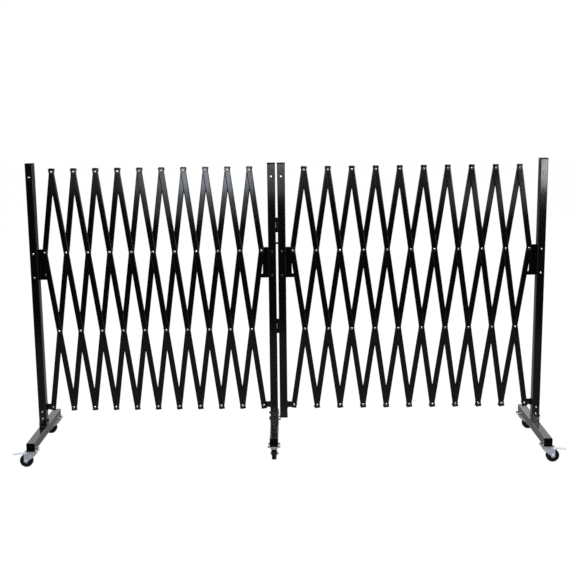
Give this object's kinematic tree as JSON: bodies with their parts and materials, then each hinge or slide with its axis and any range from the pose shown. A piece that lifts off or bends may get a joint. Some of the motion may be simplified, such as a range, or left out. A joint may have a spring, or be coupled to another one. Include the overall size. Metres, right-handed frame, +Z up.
{
  "type": "expandable safety barrier",
  "caption": "Accordion lattice barrier of black flat tubes between square posts, on feet with braked swivel casters; it folds flat, stretches wide and hinges at its middle.",
  "frame": {"origin": "on the floor, under the middle of the whole barrier", "axes": "+X along the barrier to the right, +Y to the rear, +Z up"},
  "size_m": [2.9506, 0.624, 1.596],
  "materials": {
    "black_coat": "semi-gloss",
    "zinc_plate": "satin",
    "wheel_rubber": "satin"
  },
  "bodies": {
    "left_back_bar_01": {"left_back_bar_01": "black_coat"},
    "left_back_bar_02": {"left_back_bar_02": "black_coat"},
    "left_back_bar_03": {"left_back_bar_03": "black_coat"},
    "left_back_bar_04": {"left_back_bar_04": "black_coat"},
    "left_back_bar_05": {"left_back_bar_05": "black_coat"},
    "left_back_bar_06": {"left_back_bar_06": "black_coat"},
    "left_back_bar_07": {"left_back_bar_07": "black_coat"},
    "left_back_bar_08": {"left_back_bar_08": "black_coat"},
    "left_back_bar_09": {"left_back_bar_09": "black_coat"},
    "left_back_bar_10": {"left_back_bar_10": "black_coat"},
    "left_back_bar_11": {"left_back_bar_11": "black_coat"},
    "left_front_bar_01": {"left_front_bar_01": "black_coat"},
    "left_front_bar_02": {"left_front_bar_02": "black_coat"},
    "left_front_bar_03": {"left_front_bar_03": "black_coat"},
    "left_front_bar_04": {"left_front_bar_04": "black_coat"},
    "left_front_bar_05": {"left_front_bar_05": "black_coat"},
    "left_front_bar_06": {"left_front_bar_06": "black_coat"},
    "left_front_bar_07": {"left_front_bar_07": "black_coat"},
    "left_front_bar_08": {"left_front_bar_08": "black_coat"},
    "left_front_bar_09": {"left_front_bar_09": "black_coat"},
    "left_front_bar_10": {"left_front_bar_10": "black_coat"},
    "left_front_bar_11": {"left_front_bar_11": "black_coat"},
    "right_back_bar_01": {"right_back_bar_01": "black_coat"},
    "right_back_bar_02": {"right_back_bar_02": "black_coat"},
    "right_back_bar_03": {"right_back_bar_03": "black_coat"},
    "right_back_bar_04": {"right_back_bar_04": "black_coat"},
    "right_back_bar_05": {"right_back_bar_05": "black_coat"},
    "right_back_bar_06": {"right_back_bar_06": "black_coat"},
    "right_back_bar_07": {"right_back_bar_07": "black_coat"},
    "right_back_bar_08": {"right_back_bar_08": "black_coat"},
    "right_back_bar_09": {"right_back_bar_09": "black_coat"},
    "right_back_bar_10": {"right_back_bar_10": "black_coat"},
    "right_back_bar_11": {"right_back_bar_11": "black_coat"},
    "right_front_bar_01": {"right_front_bar_01": "black_coat"},
    "right_front_bar_02": {"right_front_bar_02": "black_coat"},
    "right_front_bar_03": {"right_front_bar_03": "black_coat"},
    "right_front_bar_04": {"right_front_bar_04": "black_coat"},
    "right_front_bar_05": {"right_front_bar_05": "black_coat"},
    "right_front_bar_06": {"right_front_bar_06": "black_coat"},
    "right_front_bar_07": {"right_front_bar_07": "black_coat"},
    "right_front_bar_08": {"right_front_bar_08": "black_coat"},
    "right_front_bar_09": {"right_front_bar_09": "black_coat"},
    "right_front_bar_10": {"right_front_bar_10": "black_coat"},
    "right_front_bar_11": {"right_front_bar_11": "black_coat"},
    "left_end_post": {"left_end_post": "black_coat"},
    "middle_left_post": {"middle_left_post": "black_coat"},
    "middle_right_post": {"middle_right_post": "black_coat"},
    "right_end_post": {"right_end_post": "black_coat"},
    "left_front_caster_fork": {"left_front_caster_fork": "zinc_plate"},
    "left_front_caster_wheel": {"left_front_caster_wheel": "wheel_rubber"},
    "left_rear_caster_fork": {"left_rear_caster_fork": "zinc_plate"},
    "left_rear_caster_wheel": {"left_rear_caster_wheel": "wheel_rubber"},
    "middle_front_caster_fork": {"middle_front_caster_fork": "zinc_plate"},
    "middle_front_caster_wheel": {"middle_front_caster_wheel": "wheel_rubber"},
    "middle_rear_caster_fork": {"middle_rear_caster_fork": "zinc_plate"},
    "middle_rear_caster_wheel": {"middle_rear_caster_wheel": "wheel_rubber"},
    "right_front_caster_fork": {"right_front_caster_fork": "zinc_plate"},
    "right_front_caster_wheel": {"right_front_caster_wheel": "wheel_rubber"},
    "right_rear_caster_fork": {"right_rear_caster_fork": "zinc_plate"},
    "right_rear_caster_wheel": {"right_rear_caster_wheel": "wheel_rubber"}
  },
  "joints": [
    {"name": "left_panel_spread", "type": "hinge", "parent": "middle_left_post", "child": "left_front_bar_10", "pos_m": [-0.14023, 0.014, 0.239], "axis": [0, -1, 0], "range_deg": [-5.5, 24.3]},
    {"name": "left_back_bar_09_pivot", "type": "hinge", "parent": "left_front_bar_10", "child": "left_back_bar_09", "pos_m": [-0.31709, 0.014, 1.5471], "axis": [0, 1, 0], "range_deg": [-11.01, 48.61]},
    {"name": "left_front_bar_07_pivot", "type": "hinge", "parent": "left_back_bar_09", "child": "left_front_bar_07", "pos_m": [-0.49395, 0.014, 0.239], "axis": [0, -1, 0], "range_deg": [-11.01, 48.61]},
    {"name": "left_back_bar_06_pivot", "type": "hinge", "parent": "left_front_bar_07", "child": "left_back_bar_06", "pos_m": [-0.67081, 0.014, 1.5471], "axis": [0, 1, 0], "range_deg": [-11.01, 48.61]},
    {"name": "left_front_bar_04_pivot", "type": "hinge", "parent": "left_back_bar_06", "child": "left_front_bar_04", "pos_m": [-0.84767, 0.014, 0.239], "axis": [0, -1, 0], "range_deg": [-11.01, 48.61]},
    {"name": "left_back_bar_03_pivot", "type": "hinge", "parent": "left_front_bar_04", "child": "left_back_bar_03", "pos_m": [-1.02453, 0.014, 1.5471], "axis": [0, 1, 0], "range_deg": [-11.01, 48.61]},
    {"name": "left_front_bar_01_pivot", "type": "hinge", "parent": "left_back_bar_03", "child": "left_front_bar_01", "pos_m": [-1.2014, 0.014, 0.239], "axis": [0, -1, 0], "range_deg": [-11.01, 48.61]},
    {"name": "left_back_bar_02_pivot", "type": "hinge", "parent": "left_front_bar_01", "child": "left_back_bar_02", "pos_m": [-1.26035, 0.014, 0.67503], "axis": [0, 1, 0], "range_deg": [-11.01, 48.61]},
    {"name": "left_back_bar_10_pivot", "type": "hinge", "parent": "left_front_bar_10", "child": "left_back_bar_10", "pos_m": [-0.25813, 0.014, 1.11106], "axis": [0, 1, 0], "range_deg": [-11.01, 48.61]},
    {"name": "left_back_bar_11_pivot", "type": "hinge", "parent": "left_front_bar_10", "child": "left_back_bar_11", "pos_m": [-0.19918, 0.014, 0.67503], "axis": [0, 1, 0], "range_deg": [-11.01, 48.61]},
    {"name": "left_front_bar_11_pivot", "type": "hinge", "parent": "left_back_bar_10", "child": "left_front_bar_11", "pos_m": [-0.19918, 0.014, 1.5471], "axis": [0, -1, 0], "range_deg": [-11.01, 48.61]},
    {"name": "left_front_bar_09_pivot", "type": "hinge", "parent": "left_back_bar_09", "child": "left_front_bar_09", "pos_m": [-0.37604, 0.014, 1.11106], "axis": [0, -1, 0], "range_deg": [-11.01, 48.61]},
    {"name": "left_front_bar_08_pivot", "type": "hinge", "parent": "left_back_bar_09", "child": "left_front_bar_08", "pos_m": [-0.435, 0.014, 0.67503], "axis": [0, -1, 0], "range_deg": [-11.01, 48.61]},
    {"name": "left_back_bar_07_pivot", "type": "hinge", "parent": "left_front_bar_07", "child": "left_back_bar_07", "pos_m": [-0.61186, 0.014, 1.11106], "axis": [0, 1, 0], "range_deg": [-11.01, 48.61]},
    {"name": "left_back_bar_08_pivot", "type": "hinge", "parent": "left_front_bar_07", "child": "left_back_bar_08", "pos_m": [-0.5529, 0.014, 0.67503], "axis": [0, 1, 0], "range_deg": [-11.01, 48.61]},
    {"name": "left_front_bar_06_pivot", "type": "hinge", "parent": "left_back_bar_06", "child": "left_front_bar_06", "pos_m": [-0.72976, 0.014, 1.11106], "axis": [0, -1, 0], "range_deg": [-11.01, 48.61]},
    {"name": "left_front_bar_05_pivot", "type": "hinge", "parent": "left_back_bar_06", "child": "left_front_bar_05", "pos_m": [-0.78872, 0.014, 0.67503], "axis": [0, -1, 0], "range_deg": [-11.01, 48.61]},
    {"name": "left_back_bar_04_pivot", "type": "hinge", "parent": "left_front_bar_04", "child": "left_back_bar_04", "pos_m": [-0.96558, 0.014, 1.11106], "axis": [0, 1, 0], "range_deg": [-11.01, 48.61]},
    {"name": "left_back_bar_05_pivot", "type": "hinge", "parent": "left_front_bar_04", "child": "left_back_bar_05", "pos_m": [-0.90663, 0.014, 0.67503], "axis": [0, 1, 0], "range_deg": [-11.01, 48.61]},
    {"name": "left_front_bar_03_pivot", "type": "hinge", "parent": "left_back_bar_03", "child": "left_front_bar_03", "pos_m": [-1.08349, 0.014, 1.11106], "axis": [0, -1, 0], "range_deg": [-11.01, 48.61]},
    {"name": "left_front_bar_02_pivot", "type": "hinge", "parent": "left_back_bar_03", "child": "left_front_bar_02", "pos_m": [-1.14244, 0.014, 0.67503], "axis": [0, -1, 0], "range_deg": [-11.01, 48.61]},
    {"name": "left_back_bar_01_pivot", "type": "hinge", "parent": "left_front_bar_02", "child": "left_back_bar_01", "pos_m": [-1.26035, 0.014, 1.5471], "axis": [0, 1, 0], "range_deg": [-11.01, 48.61]},
    {"name": "left_end_post_pivot", "type": "hinge", "parent": "left_back_bar_02", "child": "left_end_post", "pos_m": [-1.3193, 0.014, 0.239], "axis": [0, -1, 0], "range_deg": [-5.51, 24.31]},
    {"name": "panel_fold", "type": "hinge", "parent": "middle_left_post", "child": "middle_right_post", "pos_m": [-0.05573, 0.0285, 0.9675], "axis": [0, 0, 1], "range_deg": [0, 90]},
    {"name": "right_panel_spread", "type": "hinge", "parent": "middle_right_post", "child": "right_back_bar_02", "pos_m": [0.02877, 0.014, 0.239], "axis": [0, 1, 0], "range_deg": [-6.2, 23.6]},
    {"name": "right_front_bar_03_pivot", "type": "hinge", "parent": "right_back_bar_02", "child": "right_front_bar_03", "pos_m": [0.2216, 0.014, 1.54484], "axis": [0, -1, 0], "range_deg": [-12.41, 47.21]},
    {"name": "right_back_bar_05_pivot", "type": "hinge", "parent": "right_front_bar_03", "child": "right_back_bar_05", "pos_m": [0.41443, 0.014, 0.239], "axis": [0, 1, 0], "range_deg": [-12.41, 47.21]},
    {"name": "right_front_bar_06_pivot", "type": "hinge", "parent": "right_back_bar_05", "child": "right_front_bar_06", "pos_m": [0.60726, 0.014, 1.54484], "axis": [0, -1, 0], "range_deg": [-12.41, 47.21]},
    {"name": "right_back_bar_08_pivot", "type": "hinge", "parent": "right_front_bar_06", "child": "right_back_bar_08", "pos_m": [0.80009, 0.014, 0.239], "axis": [0, 1, 0], "range_deg": [-12.41, 47.21]},
    {"name": "right_front_bar_09_pivot", "type": "hinge", "parent": "right_back_bar_08", "child": "right_front_bar_09", "pos_m": [0.99292, 0.014, 1.54484], "axis": [0, -1, 0], "range_deg": [-12.41, 47.21]},
    {"name": "right_back_bar_11_pivot", "type": "hinge", "parent": "right_front_bar_09", "child": "right_back_bar_11", "pos_m": [1.18575, 0.014, 0.239], "axis": [0, 1, 0], "range_deg": [-12.41, 47.21]},
    {"name": "right_front_bar_10_pivot", "type": "hinge", "parent": "right_back_bar_11", "child": "right_front_bar_10", "pos_m": [1.25003, 0.014, 0.67428], "axis": [0, -1, 0], "range_deg": [-12.41, 47.21]},
    {"name": "right_front_bar_02_pivot", "type": "hinge", "parent": "right_back_bar_02", "child": "right_front_bar_02", "pos_m": [0.15733, 0.014, 1.10956], "axis": [0, -1, 0], "range_deg": [-12.41, 47.21]},
    {"name": "right_front_bar_01_pivot", "type": "hinge", "parent": "right_back_bar_02", "child": "right_front_bar_01", "pos_m": [0.09305, 0.014, 0.67428], "axis": [0, -1, 0], "range_deg": [-12.41, 47.21]},
    {"name": "right_back_bar_01_pivot", "type": "hinge", "parent": "right_front_bar_02", "child": "right_back_bar_01", "pos_m": [0.09305, 0.014, 1.54484], "axis": [0, 1, 0], "range_deg": [-12.41, 47.21]},
    {"name": "right_back_bar_03_pivot", "type": "hinge", "parent": "right_front_bar_03", "child": "right_back_bar_03", "pos_m": [0.28588, 0.014, 1.10956], "axis": [0, 1, 0], "range_deg": [-12.41, 47.21]},
    {"name": "right_back_bar_04_pivot", "type": "hinge", "parent": "right_front_bar_03", "child": "right_back_bar_04", "pos_m": [0.35016, 0.014, 0.67428], "axis": [0, 1, 0], "range_deg": [-12.41, 47.21]},
    {"name": "right_front_bar_05_pivot", "type": "hinge", "parent": "right_back_bar_05", "child": "right_front_bar_05", "pos_m": [0.54299, 0.014, 1.10956], "axis": [0, -1, 0], "range_deg": [-12.41, 47.21]},
    {"name": "right_front_bar_04_pivot", "type": "hinge", "parent": "right_back_bar_05", "child": "right_front_bar_04", "pos_m": [0.47871, 0.014, 0.67428], "axis": [0, -1, 0], "range_deg": [-12.41, 47.21]},
    {"name": "right_back_bar_06_pivot", "type": "hinge", "parent": "right_front_bar_06", "child": "right_back_bar_06", "pos_m": [0.67154, 0.014, 1.10956], "axis": [0, 1, 0], "range_deg": [-12.41, 47.21]},
    {"name": "right_back_bar_07_pivot", "type": "hinge", "parent": "right_front_bar_06", "child": "right_back_bar_07", "pos_m": [0.73582, 0.014, 0.67428], "axis": [0, 1, 0], "range_deg": [-12.41, 47.21]},
    {"name": "right_front_bar_08_pivot", "type": "hinge", "parent": "right_back_bar_08", "child": "right_front_bar_08", "pos_m": [0.92865, 0.014, 1.10956], "axis": [0, -1, 0], "range_deg": [-12.41, 47.21]},
    {"name": "right_front_bar_07_pivot", "type": "hinge", "parent": "right_back_bar_08", "child": "right_front_bar_07", "pos_m": [0.86437, 0.014, 0.67428], "axis": [0, -1, 0], "range_deg": [-12.41, 47.21]},
    {"name": "right_back_bar_09_pivot", "type": "hinge", "parent": "right_front_bar_09", "child": "right_back_bar_09", "pos_m": [1.0572, 0.014, 1.10956], "axis": [0, 1, 0], "range_deg": [-12.41, 47.21]},
    {"name": "right_back_bar_10_pivot", "type": "hinge", "parent": "right_front_bar_09", "child": "right_back_bar_10", "pos_m": [1.12147, 0.014, 0.67428], "axis": [0, 1, 0], "range_deg": [-12.41, 47.21]},
    {"name": "right_front_bar_11_pivot", "type": "hinge", "parent": "right_back_bar_10", "child": "right_front_bar_11", "pos_m": [1.25003, 0.014, 1.54484], "axis": [0, -1, 0], "range_deg": [-12.41, 47.21]},
    {"name": "right_end_post_pivot", "type": "hinge", "parent": "right_front_bar_10", "child": "right_end_post", "pos_m": [1.31431, 0.014, 0.239], "axis": [0, 1, 0], "range_deg": [-6.21, 23.61]},
    {"name": "left_front_swivel", "type": "hinge", "parent": "left_end_post", "child": "left_front_caster_fork", "pos_m": [-1.37231, -0.28, 0.0765], "axis": [0, 0, 1], "continuous": true},
    {"name": "left_front_wheel_spin", "type": "hinge", "parent": "left_front_caster_fork", "child": "left_front_caster_wheel", "pos_m": [-1.4043, -0.28, 0.035], "axis": [0, 1, 0], "continuous": true},
    {"name": "left_rear_swivel", "type": "hinge", "parent": "left_end_post", "child": "left_rear_caster_fork", "pos_m": [-1.37231, 0.28, 0.0765], "axis": [0, 0, 1], "continuous": true},
    {"name": "left_rear_wheel_spin", "type": "hinge", "parent": "left_rear_caster_fork", "child": "left_rear_caster_wheel", "pos_m": [-1.4043, 0.28, 0.035], "axis": [0, 1, 0], "continuous": true},
    {"name": "middle_front_swivel", "type": "hinge", "parent": "middle_left_post", "child": "middle_front_caster_fork", "pos_m": [-0.08223, -0.24, 0.0765], "axis": [0, 0, 1], "continuous": true},
    {"name": "middle_front_wheel_spin", "type": "hinge", "parent": "middle_front_caster_fork", "child": "middle_front_caster_wheel", "pos_m": [-0.08223, -0.208, 0.035], "axis": [1, 0, 0], "continuous": true},
    {"name": "middle_rear_swivel", "type": "hinge", "parent": "middle_left_post", "child": "middle_rear_caster_fork", "pos_m": [-0.08223, 0.24, 0.0765], "axis": [0, 0, 1], "continuous": true},
    {"name": "middle_rear_wheel_spin", "type": "hinge", "parent": "middle_rear_caster_fork", "child": "middle_rear_caster_wheel", "pos_m": [-0.08223, 0.208, 0.035], "axis": [-1, 0, 0], "continuous": true},
    {"name": "right_front_swivel", "type": "hinge", "parent": "right_end_post", "child": "right_front_caster_fork", "pos_m": [1.37231, -0.28, 0.0765], "axis": [0, 0, 1], "continuous": true},
    {"name": "right_front_wheel_spin", "type": "hinge", "parent": "right_front_caster_fork", "child": "right_front_caster_wheel", "pos_m": [1.4043, -0.28, 0.035], "axis": [0, -1, 0], "continuous": true},
    {"name": "right_rear_swivel", "type": "hinge", "parent": "right_end_post", "child": "right_rear_caster_fork", "pos_m": [1.37231, 0.28, 0.0765], "axis": [0, 0, 1], "continuous": true},
    {"name": "right_rear_wheel_spin", "type": "hinge", "parent": "right_rear_caster_fork", "child": "right_rear_caster_wheel", "pos_m": [1.4043, 0.28, 0.035], "axis": [0, -1, 0], "continuous": true}
  ],
  "couplings": [
    {"joint": "left_back_bar_09_pivot", "follows": "left_panel_spread", "ratio": 2},
    {"joint": "left_front_bar_07_pivot", "follows": "left_panel_spread", "ratio": 2},
    {"joint": "left_back_bar_06_pivot", "follows": "left_panel_spread", "ratio": 2},
    {"joint": "left_front_bar_04_pivot", "follows": "left_panel_spread", "ratio": 2},
    {"joint": "left_back_bar_03_pivot", "follows": "left_panel_spread", "ratio": 2},
    {"joint": "left_front_bar_01_pivot", "follows": "left_panel_spread", "ratio": 2},
    {"joint": "left_back_bar_02_pivot", "follows": "left_panel_spread", "ratio": 2},
    {"joint": "left_back_bar_10_pivot", "follows": "left_panel_spread", "ratio": 2},
    {"joint": "left_back_bar_11_pivot", "follows": "left_panel_spread", "ratio": 2},
    {"joint": "left_front_bar_11_pivot", "follows": "left_panel_spread", "ratio": 2},
    {"joint": "left_front_bar_09_pivot", "follows": "left_panel_spread", "ratio": 2},
    {"joint": "left_front_bar_08_pivot", "follows": "left_panel_spread", "ratio": 2},
    {"joint": "left_back_bar_07_pivot", "follows": "left_panel_spread", "ratio": 2},
    {"joint": "left_back_bar_08_pivot", "follows": "left_panel_spread", "ratio": 2},
    {"joint": "left_front_bar_06_pivot", "follows": "left_panel_spread", "ratio": 2},
    {"joint": "left_front_bar_05_pivot", "follows": "left_panel_spread", "ratio": 2},
    {"joint": "left_back_bar_04_pivot", "follows": "left_panel_spread", "ratio": 2},
    {"joint": "left_back_bar_05_pivot", "follows": "left_panel_spread", "ratio": 2},
    {"joint": "left_front_bar_03_pivot", "follows": "left_panel_spread", "ratio": 2},
    {"joint": "left_front_bar_02_pivot", "follows": "left_panel_spread", "ratio": 2},
    {"joint": "left_back_bar_01_pivot", "follows": "left_panel_spread", "ratio": 2},
    {"joint": "left_end_post_pivot", "follows": "left_panel_spread", "ratio": 1},
    {"joint": "right_front_bar_03_pivot", "follows": "right_panel_spread", "ratio": 2},
    {"joint": "right_back_bar_05_pivot", "follows": "right_panel_spread", "ratio": 2},
    {"joint": "right_front_bar_06_pivot", "follows": "right_panel_spread", "ratio": 2},
    {"joint": "right_back_bar_08_pivot", "follows": "right_panel_spread", "ratio": 2},
    {"joint": "right_front_bar_09_pivot", "follows": "right_panel_spread", "ratio": 2},
    {"joint": "right_back_bar_11_pivot", "follows": "right_panel_spread", "ratio": 2},
    {"joint": "right_front_bar_10_pivot", "follows": "right_panel_spread", "ratio": 2},
    {"joint": "right_front_bar_02_pivot", "follows": "right_panel_spread", "ratio": 2},
    {"joint": "right_front_bar_01_pivot", "follows": "right_panel_spread", "ratio": 2},
    {"joint": "right_back_bar_01_pivot", "follows": "right_panel_spread", "ratio": 2},
    {"joint": "right_back_bar_03_pivot", "follows": "right_panel_spread", "ratio": 2},
    {"joint": "right_back_bar_04_pivot", "follows": "right_panel_spread", "ratio": 2},
    {"joint": "right_front_bar_05_pivot", "follows": "right_panel_spread", "ratio": 2},
    {"joint": "right_front_bar_04_pivot", "follows": "right_panel_spread", "ratio": 2},
    {"joint": "right_back_bar_06_pivot", "follows": "right_panel_spread", "ratio": 2},
    {"joint": "right_back_bar_07_pivot", "follows": "right_panel_spread", "ratio": 2},
    {"joint": "right_front_bar_08_pivot", "follows": "right_panel_spread", "ratio": 2},
    {"joint": "right_front_bar_07_pivot", "follows": "right_panel_spread", "ratio": 2},
    {"joint": "right_back_bar_09_pivot", "follows": "right_panel_spread", "ratio": 2},
    {"joint": "right_back_bar_10_pivot", "follows": "right_panel_spread", "ratio": 2},
    {"joint": "right_front_bar_11_pivot", "follows": "right_panel_spread", "ratio": 2},
    {"joint": "right_end_post_pivot", "follows": "right_panel_spread", "ratio": 1}
  ]
}
